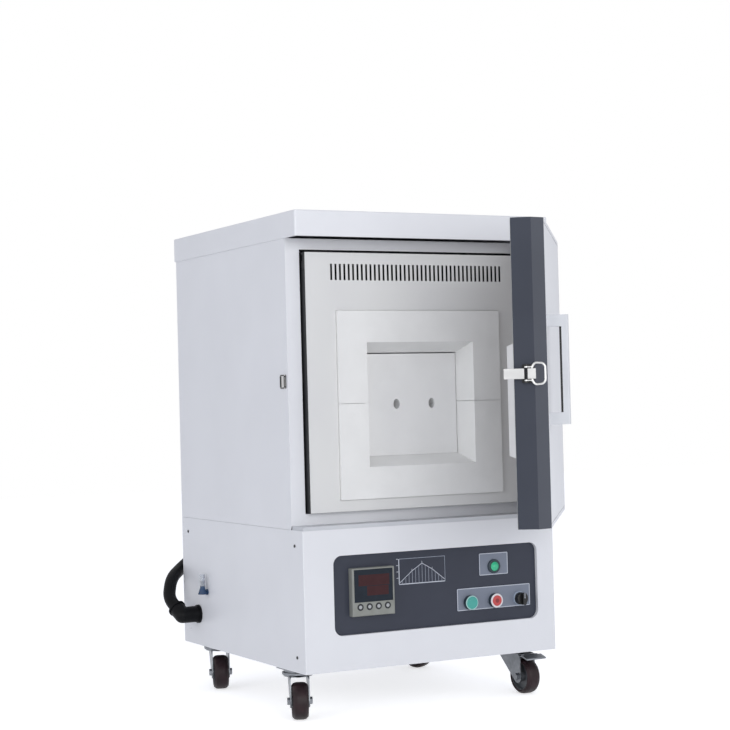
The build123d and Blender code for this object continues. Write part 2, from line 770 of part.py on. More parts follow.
def display_window():
    y0 = front - controller_proud
    return block(controller_x - display_width / 2 + 0.2, controller_x + display_width / 2 - 0.2,
                 y0 + display_glass, y0 + 3, display_centre_z - display_height / 2 + 0.2,
                 display_centre_z + display_height / 2 - 0.2)


def controller_key(k):
    x = controller_x + (k - 1.5) * key_pitch
    y0 = front - controller_proud
    key = rod(key_radius, 5.4, (x, y0 - 0.6, key_z), (0, 1, 0))
    return fillet(key.edges().group_by(Axis.Y)[0], 0.5)


def control_plates():
    y0 = fascia_face - plate_thickness
    lamp = front_plate(y0, plate_thickness, lamp_x, lamp_plate_z, lamp_plate_width,
                       plate_height, 3.0)
    lamp -= rod(neck_radius + fit_gap, 5, (lamp_x, y0 - 1, lamp_z), (0, 1, 0))
    switches = front_plate(y0, plate_thickness, switch_plate_x, switch_plate_z,
                           switch_plate_width, plate_height, 3.0)
    for k in range(-1, 2):
        switches -= rod(neck_radius + fit_gap, 5, (lamp_x + k * switch_pitch, y0 - 1, switch_z),
                        (0, 1, 0))
    return lamp, switches


def device_housing(x, z, cap_radius=button_radius, proud=bezel_proud):
    """Housing of a panel device: front ring, neck through the panel and contact block."""
    y0 = fascia_face - plate_thickness
    ring = rod(bezel_radius, proud, (x, y0 - proud, z), (0, 1, 0))
    ring = fillet(ring.edges().group_by(Axis.Y)[0], 1.2)
    ring += rod(neck_radius, plate_thickness + fascia_thickness + 22, (x, y0, z), (0, 1, 0))
    ring += block(x - 14, x + 14, fascia_back + 20, fascia_back + 45, z - 16, z + 16)
    ring -= rod(cap_radius + running, proud, (x, y0 - proud, z), (0, 1, 0))
    return ring - rod(button_radius + running, proud + 16, (x, y0 - proud, z), (0, 1, 0))


def push_button(x, cap_radius=button_radius):
    y0 = fascia_face - plate_thickness - button_proud - button_rise
    cap = rod(cap_radius, button_travel + 0.3, (x, y0, switch_z), (0, 1, 0))
    cap = fillet(cap.edges().group_by(Axis.Y)[0], 1.2)
    return cap + rod(button_radius, 18.0, (x, y0 + 2.0, switch_z), (0, 1, 0))


def lamp_lens():
    """Domed lens in a lamp ring."""
    y0 = fascia_face - plate_thickness - bezel_proud
    lens = rod(button_radius, 12.0, (lamp_x, y0 - 1.0, lamp_z), (0, 1, 0))
    lens = fillet(lens.edges().group_by(Axis.Y)[0], 0.9)
    dome = Pos(lamp_x, y0 + 7.0, lamp_z) * Sphere(lens_radius + 2.0)
    return lens + (dome & rod(lens_radius, 20, (lamp_x, y0 - 10, lamp_z), (0, 1, 0)))


def selector_knob():
    """Round skirt with a raised finger bar, on a shaft in its housing."""
    x = lamp_x + switch_pitch
    y0 = fascia_face - plate_thickness - bezel_proud - fit_gap
    knob = rod(knob_radius, skirt_length, (x, y0 - skirt_length, switch_z), (0, 1, 0))
    knob = fillet(knob.edges().group_by(Axis.Y)[0], 1.5)
    bar = block(x - 4.0, x + 4.0, y0 - knob_length, y0 - 1.0,
                switch_z - knob_radius + 0.4, switch_z + knob_radius - 0.4)
    bar = fillet(bar.edges().filter_by(Axis.Y), 2.5)
    knob += bar
    knob += rod(button_radius, 15.0, (x, y0 - 1.0, switch_z), (0, 1, 0))
    # white pointer line let into the bar
    return knob - block(x - 0.7, x + 0.7, y0 - knob_length - 1, y0 - knob_length + 0.6,
                        switch_z + 1.0, switch_z + knob_radius)


# ---------------------------------------------------------------- conduit and fittings
def rounded_path(points):
    """Straight runs joined by tangent arcs, as wide as the runs allow."""
    points = [Vector(*p) for p in points]
    edges = []
    start = points[0]
    for a, b, c in zip(points, points[1:], points[2:]):
        u = (b - a).normalized()
        v = (c - b).normalized()
        half = acos(u.dot(v)) / 2
        reach = 0.45 * min((b - a).length, (c - b).length)
        radius = reach / tan(half)
        middle = b + (v - u).normalized() * (radius / cos(half) - radius)
        edges.append(Edge.make_line(start, b - u * reach))
        edges.append(Edge.make_three_point_arc(b - u * reach, middle, b + v * reach))
        start = b + v * reach
    edges.append(Edge.make_line(start, points[-1]))
    return Wire(edges)


def conduit_route():
    """From the elbow on the left side, round the rear edge and up into the rear cover."""
    x, y, z = elbow_centre
    dx, dy, dz = elbow_direction
    behind = back + cover_depth / 2
    return [(x + 14 * dx, y + 14 * dy, z + 14 * dz),
            (x + 60 * dx, y + 60 * dy, z + 60 * dz),
            (left - 33.0, back - 8.0, z + 75.0),
            (left + 16.0, behind, z + 98.0),
            (cover_gland_x, behind, z + 145.0),
            (cover_gland_x, behind, cover_bottom + 8.0)]


def conduit():
    path = rounded_path(conduit_route())
    start, following = [Vector(*p) for p in conduit_route()[:2]]
    section = Plane(origin=start, z_dir=following - start) * Circle(conduit_radius)
    return sweep(section, path=path)


def conduit_elbow():
    """Angled fitting: collar and stub on the panel, ball at the bend, socket for the hose."""
    x, y, z = elbow_centre
    stub = rod(gland_radius, left - x, (x, y, z), (1, 0, 0))
    stub += rod(gland_radius - 4.3, 8.0, (left - 1, y, z), (1, 0, 0))
    stub += rod(gland_radius + 2.5, 5.0, (left - 5, y, z), (1, 0, 0))
    stub += Pos(x, y, z) * Sphere(gland_radius)
    stub += rod(gland_radius, 26.0, elbow_centre, elbow_direction)
    rim_start = tuple(c + 21.5 * d for c, d in zip(elbow_centre, elbow_direction))
    stub += rod(socket_rim, 4.5, rim_start, elbow_direction)
    socket = tuple(c + 14.0 * d for c, d in zip(elbow_centre, elbow_direction))
    return stub - rod(conduit_radius + running, 60.0, socket, elbow_direction)


def rear_gland():
    """Cable gland where the conduit enters the rear cover from below."""
    at = (cover_gland_x, back + cover_depth / 2)
    hexagon = Plane(origin=(*at, cover_bottom - 14.0)) * RegularPolygon(19.0, 6)
    gland = extrude(hexagon, 14.0)
    gland += rod(16.0, 8.0, (*at, cover_bottom - 22.0), (0, 0, 1))
    gland += rod(conduit_radius + 1.4, sheet, (*at, cover_bottom), (0, 0, 1))
    gland += rod(16.0, 6.0, (*at, cover_bottom + sheet), (0, 0, 1))
    return gland - rod(conduit_radius + running, 60.0, (*at, cover_bottom - 30.0), (0, 0, 1))


def mains_gland():
    hexagon = Plane(origin=(mains_x, back + 9.0, mains_z), z_dir=(0, -1, 0)) * RegularPolygon(15.5, 6)
    gland = extrude(hexagon, 9.0)
    gland += rod(13.0, 12.0, (mains_x, back + 21.0, mains_z), (0, -1, 0))
    gland += rod(mains_bore + 4.3, 12.0, (mains_x, back, mains_z), (0, -1, 0))
    return gland - rod(mains_bore, 60.0, (mains_x, back + 30.0, mains_z), (0, -1, 0))


def gas_fitting():
    """Bell-shaped inlet elbow with an upright spigot."""
    at = (left - 12.0, gas_y)
    bell = Pos(*at, gas_z - 3.0) * Cone(10.5, 5.5, 14.0, align=(Align.CENTER, Align.CENTER, Align.MIN))
    bell += rod(5.5, 4.0, (*at, gas_z + 11.0), (0, 0, 1))
    bell += rod(3.9, 18.0, (left - 12.0, gas_y, gas_z + 1.0), (1, 0, 0))
    bell += rod(6.5, 2.5, (left - 2.5, gas_y, gas_z + 1.0), (1, 0, 0))
    return bell + rod(gas_tube_bore - running, 12.0, (*at, gas_z + 15.0), (0, 0, 1))


def gas_tube():
    at = (left - 12.0, gas_y)
    tube = rod(gas_tube_radius, gas_tube_length, (*at, gas_z + 15.0), (0, 0, 1))
    return tube - rod(gas_tube_bore, gas_tube_length + 2, (*at, gas_z + 14.0), (0, 0, 1))


# ---------------------------------------------------------------- casters
# Drawn with the wheel trailing along +X of the swivel axis.
swivel = {}
for name in headings:
    inset_x = front_inset_x if "front" in name else rear_inset_x
    swivel[name] = ((left + inset_x) if "left" in name else (right - inset_x),
                    (front + front_inset_y) if "front" in name else (back - rear_inset_y))


def place(name, solid):
    x, y = swivel[name]
    return Pos(x, y, 0) * Rot(0, 0, headings[name]) * solid


def caster_plate_solid():
    """Mounting plate, bearing cup and kingpin."""
    top = caster_height
    plate = Pos(0, 0, top - caster_plate / 2) * Box(64, 84, caster_plate)
    plate = fillet(plate.edges().filter_by(Axis.Z), 7.0)
    plate += rod(dish_radius - 5, 5.0, (0, 0, top - caster_plate - 5), (0, 0, 1))
    plate += rod(kingpin_radius, 15.0, (0, 0, top - 20.0), (0, 0, 1))
    return plate + rod(kingpin_radius + 3.5, 3.0, (0, 0, top - 20.0), (0, 0, 1))


def caster_fork():
    """Pressed fork with a bearing cup above and the axle bolt through both cheeks."""
    crown_top = caster_height - caster_plate - 5.3
    crown_bottom = caster_height - 16.7
    half = fork_gap / 2
    face = Plane(origin=(0, half, 0), x_dir=(1, 0, 0), z_dir=(0, -1, 0))
    outline = Pos(-1, crown_bottom - 1) * Rectangle(60, 8)
    outline += Pos(caster_trail, wheel_radius) * Circle(14)
    outline += Pos(brake_reach, brake_z) * Circle(5.5)
    profile = Plane.XZ * make_face(make_hull(outline.edges()))
    cheek = extrude(profile, fork_plate)
    fork = Pos(0, -half, 0) * cheek + Pos(0, half + fork_plate, 0) * cheek
    crown = block(-31, 29, -half - fork_plate, half + fork_plate, crown_bottom,
                  crown_bottom + fork_plate)
    dish = rod(dish_radius, crown_top - crown_bottom, (0, 0, crown_bottom), (0, 0, 1))
    fork += crown + chamfer(dish.edges().group_by(Axis.Z)[0], 4.0)
    fork += rod(axle_radius, fork_gap + 2 * fork_plate + 2,
                (caster_trail, -half - fork_plate - 1, wheel_radius), (0, 1, 0))
    for side in (-1, 1):
        hexagon = Plane(origin=(caster_trail, side * (half + fork_plate), wheel_radius),
                        z_dir=(0, side, 0)) * RegularPolygon(7.5, 6)
        fork += extrude(hexagon, 5.5)
    fork -= rod(kingpin_radius + running, 30, (0, 0, crown_bottom - 5), (0, 0, 1))
    return fork - rod(brake_pin + running, 60, (brake_reach, -30, brake_z), (0, 1, 0))


def caster_wheel():
    """Tread on a webbed hub, turning on the axle."""
    half = wheel_width / 2
    hub_half = fork_gap / 2 - 0.3
    outline = [(axle_radius + running, -hub_half), (11.0, -hub_half), (11.0, -6.0),
               (hub_radius, -5.0), (hub_radius + 1.0, -half + 2.0), (wheel_radius - 5.0, -half),
               (wheel_radius - 1.2, -half + 4.0), (wheel_radius, -half + 9.0)]
    mirrored = [(r, -w) for r, w in reversed(outline)]
    section = Plane.XY * make_face(Polyline(*outline, *mirrored, close=True))
    wheel = revolve(section, Axis.Y)
    return Pos(caster_trail, 0, wheel_radius) * wheel


def brake_pedal():
    """Foot lever over the wheel, turning on its own cross pin."""
    half = fork_gap / 2 - 0.5
    pedal = rod(4.0, 2 * half, (brake_reach, -half, brake_z), (0, 1, 0))
    pedal += rod(brake_pin, fork_gap + 2 * fork_plate,
                 (brake_reach, -fork_gap / 2 - fork_plate, brake_z), (0, 1, 0))
    y = -half
    outline = Plane(origin=(0, y, 0), x_dir=(1, 0, 0), z_dir=(0, -1, 0)) * make_face(Polyline(
        (brake_reach - 1, brake_z + 1), (brake_reach + 20, brake_z + 3),
        (brake_reach + 40, brake_z - 3), (brake_reach + 41, brake_z - 0.5),
        (brake_reach + 20, brake_z + 6), (brake_reach - 1, brake_z + 3.9), close=True))
    pedal += extrude(outline, -2 * half)
    pad = block(brake_reach + 22, brake_reach + 42, -25, 25, brake_z - 4, brake_z + 6)
    tread = Plane(origin=(0, 25, 0), x_dir=(1, 0, 0), z_dir=(0, -1, 0)) * make_face(Polyline(
        (brake_reach + 22, brake_z + 2.4), (brake_reach + 42, brake_z - 3.6),
        (brake_reach + 42.8, brake_z - 0.8), (brake_reach + 22.8, brake_z + 5.2), close=True))
    return pedal + (extrude(tread, 50) & pad)


# ---------------------------------------------------------------- write every piece
os.makedirs("parts", exist_ok=True)

save("base_cabinet", base_cabinet())
save("sill_tray", sill_tray())
save("side_screws", *side_screws())
core, coils = transformer()
save("transformer", core, *coils)
save("control_fascia", control_fascia())
save("controller_case", controller_case())
save("display_window", display_window())
save("controller_keys", *[controller_key(k) for k in range(4)])
save("control_plates", *control_plates())
switches = [lamp_x + k * switch_pitch for k in range(-1, 2)]
save("device_housings", device_housing(lamp_x, lamp_z),
     device_housing(switches[0], switch_z, broad_cap, button_proud),
     device_housing(switches[1], switch_z, button_radius, button_proud),
     device_housing(switches[2], switch_z))
save("signal_lamp", lamp_lens())
save("start_button", push_button(switches[0], broad_cap))
save("stop_button", push_button(switches[1]))
save("selector_knob", selector_knob())

save("upper_shell", upper_shell())
save("front_frame", front_frame())
save("slotted_panel", slotted_panel())
save("panel_lug", switch_lug())
save("inner_casing", inner_casing())
save("casing_rails", *casing_rails())
upper_block, lower_block = mouth_blocks()
save("mouth_block_upper", upper_block)
save("mouth_block_lower", lower_block)
save("inner_plug", inner_plug())
chamber_floor, chamber_roof, chamber_sides, chamber_rear = chamber_boards()
save("chamber_boards", chamber_floor, chamber_roof, *chamber_sides, chamber_rear)
save("hearth_plate", hearth_plate())
save("heating_elements", *heating_elements())
save("thermocouple", thermocouple())
save("rear_cover", rear_cover())
save("top_cap", top_cap())

save_on_door("door_shell", door_shell())
save_on_door("door_panel", door_panel())
save_on_door("door_liner", door_liner())
save_on_door("door_plug", door_plug())
save_on_door("door_gasket", door_gasket())
save_on_door("door_handle", handle())
save_on_door("handle_grip", handle_grip())
cabinet_leaves, door_leaves, pins = hinge_halves()
save("hinge_leaves", *cabinet_leaves)
save("hinge_pins", *pins)
save_on_door("door_hinge_leaves", *door_leaves)
save_on_door("latch_base", latch_base())
save_on_door("latch_lever", latch_lever())
save_on_door("latch_hook", latch_hook())
save("latch_keeper", latch_keeper())

save("conduit", conduit())
save("conduit_elbow", conduit_elbow())
save("rear_gland", rear_gland())
save("mains_gland", mains_gland())
save("gas_fitting", gas_fitting())
save("gas_tube", gas_tube())

plate_solid = caster_plate_solid()
fork_solid = caster_fork()
wheel_solid = caster_wheel()
pedal_solid = brake_pedal()
save("caster_plates", *[Pos(*swivel[name], 0) * plate_solid for name in headings])
for name in headings:
    save(f"fork_{name}", place(name, fork_solid))
    save(f"wheel_{name}", place(name, wheel_solid))
for name in braked:
    save(f"brake_{name}", place(name, pedal_solid))
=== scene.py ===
# %% [markdown]
# # A muffle furnace on casters
# The furnace comes packed as CAD pieces, in metres, already in place: a steel base with the
# controls, an insulated cabinet with a refractory mouth, and a side-hung door. This file gives
# those pieces their finishes, adds the printed and fine parts that CAD leaves out, and lights it.
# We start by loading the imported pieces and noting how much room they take.

from math import cos, pi, radians, sin

import bmesh
import bpy
from mathutils import Matrix, Vector


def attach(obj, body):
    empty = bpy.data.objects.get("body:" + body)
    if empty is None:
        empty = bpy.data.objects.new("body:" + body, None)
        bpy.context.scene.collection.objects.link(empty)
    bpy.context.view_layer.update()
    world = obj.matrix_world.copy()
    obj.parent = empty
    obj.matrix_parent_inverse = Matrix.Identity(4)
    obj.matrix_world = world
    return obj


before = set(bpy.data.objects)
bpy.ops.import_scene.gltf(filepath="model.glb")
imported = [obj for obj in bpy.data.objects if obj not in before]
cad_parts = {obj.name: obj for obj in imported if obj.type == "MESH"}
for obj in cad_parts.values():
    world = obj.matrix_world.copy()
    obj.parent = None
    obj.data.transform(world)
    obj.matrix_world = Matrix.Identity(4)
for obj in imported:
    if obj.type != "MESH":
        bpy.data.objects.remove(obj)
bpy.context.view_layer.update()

# %% [markdown]
# ## Camera
# The camera stands at chest height, well to the left of the front, with a short telephoto lens.
# It is placed by its position and its three viewing directions, because those come straight
# from a perspective fit of the cabinet's edges. The small shift moves the picture, not the view.

# %% Place the camera
def view_directions(yaw, pitch, roll):
    """Right, up and forward directions of a camera; yaw turns it from +Y towards +X."""
    forward = Vector((sin(yaw) * cos(pitch), cos(yaw) * cos(pitch), -sin(pitch)))
    level = Vector((cos(yaw), -sin(yaw), 0.0))
    upright = level.cross(forward)
    right = cos(roll) * level + sin(roll) * upright
    return right, -sin(roll) * level + cos(roll) * upright, forward


camera_data = bpy.data.cameras.new("camera")
camera_data.sensor_width = 36.0
camera_data.lens = 87.1
camera_data.shift_x = -0.0108
camera_data.shift_y = 0.0138
camera = bpy.data.objects.new("camera", camera_data)
bpy.context.scene.collection.objects.link(camera)
right, up, forward = view_directions(radians(27.98), radians(-0.87), radians(-1.48))
camera.matrix_world = (Matrix.Translation((-1.8027, -3.4700, 0.6353))
                       @ Matrix((right, up, -forward)).transposed().to_4x4())
bpy.context.scene.camera = camera

# %% [markdown]
# ## Light and floor
# A white studio: an even sky fills the shadows, and three wide, soft lights stand in front, at
# the left and at the front right, about as high as the door. The front one is the strongest, so
# the cabinet's front is brighter than its side. The sky is plain white to the camera and through
# the clear tube, a little dimmer in reflections, and dimmer and faintly blue as a light, so that
# pale paint keeps its own colour.

# %% Small helpers for nodes and colours
def linear(code):
    """sRGB hex code to the linear colour that the shaders use, opaque."""
    channels = [int(code[i:i + 2], 16) / 255 for i in (1, 3, 5)]
    return [c / 12.92 if c <= 0.04045 else ((c + 0.055) / 1.055) ** 2.4
            for c in channels] + [1.0]


def add_node(tree, kind, inputs=None, **settings):
    """Adds a shader node. Inputs that are sockets are linked, others are set."""
    made = tree.nodes.new(kind)
    for key, value in settings.items():
        setattr(made, key, value)
    for key, value in (inputs or {}).items():
        if isinstance(value, bpy.types.NodeSocket):
            tree.links.new(value, made.inputs[key])
        else:
            made.inputs[key].default_value = value
    return made


# %% Sky
SKY_LIGHT = 0.55           # strength as a light
SKY_MIRRORED = 0.85        # strength in reflections
world = bpy.data.worlds.new("studio")
bpy.context.scene.world = world
world.use_nodes = True
sky = world.node_tree
sky.nodes.clear()
rays = add_node(sky, "ShaderNodeLightPath")
seen = add_node(sky, "ShaderNodeMath", {0: rays.outputs["Is Camera Ray"],
                                        1: rays.outputs["Is Transmission Ray"]},
                operation="MAXIMUM")
mirrored = add_node(sky, "ShaderNodeMath", {0: rays.outputs["Is Glossy Ray"], 1: SKY_MIRRORED},
                    operation="MULTIPLY")
direct = add_node(sky, "ShaderNodeMath", {0: seen.outputs[0], 1: mirrored.outputs[0]},
                  operation="MAXIMUM")
level = add_node(sky, "ShaderNodeMath", {0: direct.outputs[0], 1: SKY_LIGHT}, operation="MAXIMUM")
sky_tint = add_node(sky, "ShaderNodeMix", {"Factor": direct.outputs[0], "A": linear("#eef2ff"),
                                           "B": linear("#ffffff")}, data_type="RGBA")
background = add_node(sky, "ShaderNodeBackground", {"Color": sky_tint.outputs["Result"],
                                                    "Strength": level.outputs[0]})
add_node(sky, "ShaderNodeOutputWorld", {"Surface": background.outputs[0]})

# %% Three soft lights
LAMP_SIZE = 2.6            # metres
AIM = Vector((0, 0, 0.5))
lamps = (("key_front", (-0.7, -4.7, 1.5), 76.0),
         ("key_side", (-4.6, -1.5, 1.4), 50.0),
         ("key_right", (2.4, -4.4, 1.5), 17.0))
for name, place, watts in lamps:
    lamp_data = bpy.data.lights.new(name, "AREA")
    lamp_data.shape = "SQUARE"
    lamp_data.size = LAMP_SIZE
    lamp_data.energy = watts
    lamp = bpy.data.objects.new(name, lamp_data)
    bpy.context.scene.collection.objects.link(lamp)
    lamp.matrix_world = Matrix.Translation(place) @ (
        AIM - Vector(place)).to_track_quat("-Z", "Y").to_matrix().to_4x4()
bpy.context.scene.view_settings.view_transform = "Standard"

# %% Pale paper floor
FLOOR_LIFT = 0.6           # how much whiter the paper looks to the camera than it is lit
floor_mesh = bmesh.new()
bmesh.ops.create_grid(floor_mesh, x_segments=1, y_segments=1, size=9.0)
floor_data = bpy.data.meshes.new("floor")
floor_mesh.to_mesh(floor_data)
floor_mesh.free()
floor = bpy.data.objects.new("floor", floor_data)
bpy.context.scene.collection.objects.link(floor)
floor_finish = bpy.data.materials.new("studio_paper")
floor_finish.use_nodes = True
paper = floor_finish.node_tree
paper.nodes.clear()
floor_rays = add_node(paper, "ShaderNodeLightPath")
seen_or_mirrored = add_node(paper, "ShaderNodeMath",
                            {0: floor_rays.outputs["Is Camera Ray"],
                             1: floor_rays.outputs["Is Glossy Ray"]}, operation="MAXIMUM")
floor_seen = add_node(paper, "ShaderNodeMath", {0: seen_or_mirrored.outputs[0],
                                                1: floor_rays.outputs["Is Transmission Ray"]},
                      operation="MAXIMUM")
lift = add_node(paper, "ShaderNodeMath", {0: floor_seen.outputs[0], 1: FLOOR_LIFT},
                operation="MULTIPLY")
glow = add_node(paper, "ShaderNodeEmission", {"Color": linear("#ffffff"),
                                              "Strength": lift.outputs[0]})
matt = add_node(paper, "ShaderNodeBsdfDiffuse", {"Color": linear("#f4f4f4")})
both = add_node(paper, "ShaderNodeAddShader", {0: glow.outputs[0], 1: matt.outputs[0]})
add_node(paper, "ShaderNodeOutputMaterial", {"Surface": both.outputs[0]})
floor_data.materials.append(floor_finish)

# %% [markdown]
# ## Finishes
# Every finish is a Principled shader with a pattern read from Object coordinates, which are
# metres here because each piece sits at the origin. So a pattern's scale is one over its real
# size. Relief goes through a Bump node with a real height.

# %% A starting point for every finish
class Finish:
    """A material under construction: its tree, its shader and its coordinates."""

    def __init__(self, name, **sockets):
        self.material = bpy.data.materials.new(name)
        self.material.use_nodes = True
        self.tree = self.material.node_tree
        self.shader = self.tree.nodes["Principled BSDF"]
        self.place = add_node(self.tree, "ShaderNodeTexCoord").outputs["Object"]
        for key, value in sockets.items():
            self.shader.inputs[key.replace("_", " ")].default_value = value

    def noise(self, size_mm, detail=2.0, roughness=0.5):
        """Noise whose blotches are about size_mm wide."""
        return add_node(self.tree, "ShaderNodeTexNoise",
                        {"Vector": self.place, "Scale": 1000.0 / size_mm,
                         "Detail": detail, "Roughness": roughness}).outputs["Fac"]

    def colours(self, factor, low, high, start=0.3, end=0.7):
        """Base colour that runs from low to high as the factor rises."""
        ramp = add_node(self.tree, "ShaderNodeValToRGB", {"Fac": factor})
        ramp.color_ramp.elements[0].position = start
        ramp.color_ramp.elements[0].color = linear(low)
        ramp.color_ramp.elements[1].position = end
        ramp.color_ramp.elements[1].color = linear(high)
        self.tree.links.new(ramp.outputs["Color"], self.shader.inputs["Base Color"])

    def roughness(self, factor, low, high):
        """Roughness that runs from low to high as the factor rises."""
        scaled = add_node(self.tree, "ShaderNodeMapRange",
                          {"Value": factor, "To Min": low, "To Max": high})
        self.tree.links.new(scaled.outputs["Result"], self.shader.inputs["Roughness"])

    def relief(self, height, depth_mm, strength=1.0, after=None):
        """Bump of a real depth, on top of an earlier one if that is given."""
        inputs = {"Height": height, "Distance": depth_mm / 1000.0, "Strength": strength}
        if after is not None:
            inputs["Normal"] = after
        bump = add_node(self.tree, "ShaderNodeBump", inputs)
        self.tree.links.new(bump.outputs["Normal"], self.shader.inputs["Normal"])
        return bump.outputs["Normal"]


# %% [markdown]
# ### Powder coat
# Sheet steel sprayed with polyester powder and baked. The powder melts into a tough satin skin
# with a faint orange peel about 1.5 mm across, and its colour hardly varies. So the shader is
# a plain dielectric with medium roughness, and the peel is a very shallow bump.

# %% Powder coats
COAT_TINT_MM, COAT_WEAR_MM = 140.0, 24.0      # blotches of colour and of gloss


def powder_coat(name, low, high, rough, peel_mm=1.6, depth_mm=0.012, gloss=0.5):
    """Satin sprayed coat with orange peel."""
    coat = Finish(name, IOR=1.5, Specular_IOR_Level=gloss)
    coat.colours(coat.noise(COAT_TINT_MM), low, high)
    coat.roughness(coat.noise(COAT_WEAR_MM), rough - 0.04, rough + 0.06)
    coat.relief(coat.noise(peel_mm, detail=1.0), depth_mm)
    return coat.material


cabinet_white = powder_coat("polyester_powder_coat_grey_white", "#e0e1e4", "#e3e4e7", 0.4)
handle_grey = powder_coat("polyester_powder_coat_handle", "#c9cbce", "#ced0d3", 0.4)
tray_grey = powder_coat("polyester_powder_coat_tray_grey", "#c3c5ca", "#cacccf", 0.45)
door_slate = powder_coat("polyester_powder_coat_slate", "#343842", "#393d47", 0.4, gloss=0.25)
inner_white = powder_coat("heatproof_coat_warm_white", "#d9d9d8", "#dcdcda", 0.55)
# The door liner is a darker warm grey than the inner white paint: painted shade on the side that
# lies in the door's shadow.
liner_painted_shade = powder_coat("heatproof_coat_painted_shade", "#bcb8b5", "#c2bebb", 0.5)
# Lighter slate for the door's chamfers: a painted highlight, with a little less roughness.
slate_painted_highlight = powder_coat("polyester_powder_coat_slate_painted_highlight", "#3a3e48", "#3f434d", 0.34)
fascia_slate = powder_coat("textured_coat_dark_slate", "#2f333f", "#353945", 0.45,
                           peel_mm=0.9, depth_mm=0.02, gloss=0.3)
plate_blue_grey = powder_coat("printed_plate_blue_grey", "#727987", "#7a818f", 0.5)
# Black that stands for shade: the inner casing, its rails, the folded edges round the slotted
# panel and what lies behind the slots are painted black as painted shade.
painted_shade_black = powder_coat("black_painted_shade", "#202123", "#28292b", 0.5)

# %% [markdown]
# ### Refractory fibre board
# Vacuum-formed alumina fibre: chalk white, quite matt, with a felted surface of short fibres,
# shallow pits and faint warm stains from firing. Two sizes of noise give the fibres and pits.

# %% Fibre board, hearth plate and heating elements
STAIN_MM, FIBRE_MM, PIT_MM = 60.0, 1.8, 9.0


def fibre_board(name, low, high):
    """Matt felted board with stains, fibres and pits."""
    board = Finish(name, Roughness=0.95, Specular_IOR_Level=0.2)
    board.colours(board.noise(STAIN_MM, detail=6.0), low, high, 0.35, 0.65)
    fibres = board.relief(board.noise(FIBRE_MM, detail=6.0, roughness=0.7), 0.12)
    board.relief(board.noise(PIT_MM, detail=3.0), 0.35, 0.6, after=fibres)
    return board.material


mouth_board = fibre_board("alumina_fibre_board", "#e7e7e5", "#ebebe9")
chamber_board = fibre_board("fired_fibre_board", "#cfccc6", "#dcdad6")
plug_board = fibre_board("alumina_fibre_plug", "#ededec", "#f0f0ef")
hearth_clay = fibre_board("cordierite_hearth", "#a79f92", "#b8b0a2")
element_black = fibre_board("silicon_carbide", "#2b2a2a", "#3c3937")
sheath_cream = fibre_board("alumina_sheath", "#d9d2c2", "#e4dfd2")
gasket_felt = fibre_board("ceramic_rope_seal", "#c9c9c6", "#dadad7")

# %% [markdown]
# ### Plated steel
# The casters, latch and hinges are pressed steel with bright zinc. Zinc is a soft blue-grey
# mirror that scatters a little, and handling leaves blotches that are duller.

# %% Zinc and bright plate
PRESS_GRAIN_MM = 0.8


def plated(name, low, high, rough, blotch_mm):
    """Plated steel whose duller blotches are also a little rougher."""
    plate = Finish(name, Metallic=1.0)
    blotch = plate.noise(blotch_mm, detail=3.0)
    plate.colours(blotch, low, high)
    plate.roughness(blotch, rough - 0.06, rough + 0.12)
    plate.relief(plate.noise(PRESS_GRAIN_MM), 0.01, 0.5)
    return plate.material


zinc = plated("zinc_plated_steel", "#74777c", "#8e9196", 0.34, 14.0)
bright_plate = plated("nickel_plated_steel", "#c9c9c8", "#d0d0cf", 0.3, 30.0)
dull_plate = plated("passivated_steel", "#8f9196", "#a9abb0", 0.38, 12.0)
# Dark steel for the latch and keeper edges, where it is painted shade, and for the dark band of
# the loop round the latch strap.
dark_steel_and_painted_shade = plated("blackened_steel_and_painted_shade", "#1c1d1f", "#28292b", 0.35, 12.0)

# %% [markdown]
# ### Plastics and rubber
# The tread is polyurethane, a dark maroon with a waxy sheen. The conduit is black PVC, and
# the controller is a grey moulding with fine spark-eroded grain. Buttons are glossy.

# %% Moulded plastics
FLOW_MM, SHINE_MM, GRAIN_MM, GRAIN_DEPTH_MM = 18.0, 6.0, 0.7, 0.01
PLASTIC_IOR = 1.46


def moulded(name, low, high, rough, **sockets):
    """Moulded plastic with a fine grain."""
    plastic = Finish(name, IOR=PLASTIC_IOR, **sockets)
    plastic.colours(plastic.noise(FLOW_MM), low, high)
    plastic.roughness(plastic.noise(SHINE_MM), rough - 0.03, rough + 0.05)
    plastic.relief(plastic.noise(GRAIN_MM), GRAIN_DEPTH_MM)
    return plastic.material


tread_maroon = moulded("polyurethane_tread_maroon", "#1f1417", "#2b1b1f", 0.42,
                       Specular_IOR_Level=0.3)
conduit_black = moulded("pvc_conduit_black", "#08090b", "#0c0d10", 0.45,
                        Specular_IOR_Level=0.15)
plastic_black = moulded("nylon_black", "#0b0c0d", "#111214", 0.35)
controller_grey = moulded("abs_controller_grey", "#83857f", "#8b8d88", 0.5)


def round_cap(name, centres, inner, outer, edge_mm, rough):
    """Cap whose middle has its own colour, out to edge_mm from the centre in X and Z."""
    cap = Finish(name, Roughness=rough, IOR=PLASTIC_IOR)
    nearest = None
    for x, z in centres:
        offset = add_node(cap.tree, "ShaderNodeVectorMath",
                          {0: cap.place, 1: (x / 1000, 0, z / 1000)}, operation="SUBTRACT")
        level_offset = add_node(cap.tree, "ShaderNodeVectorMath",
                                {0: offset.outputs[0], 1: (1, 0, 1)}, operation="MULTIPLY")
        away = add_node(cap.tree, "ShaderNodeVectorMath", {0: level_offset.outputs[0]},
                        operation="LENGTH").outputs["Value"]
        nearest = away if nearest is None else add_node(
            cap.tree, "ShaderNodeMath", {0: nearest, 1: away}, operation="MINIMUM").outputs[0]
    scaled = add_node(cap.tree, "ShaderNodeMath", {0: nearest, 1: 500 / edge_mm},
                      operation="MULTIPLY").outputs[0]
    cap.colours(scaled, inner, outer, 0.46, 0.54)
    return cap.material


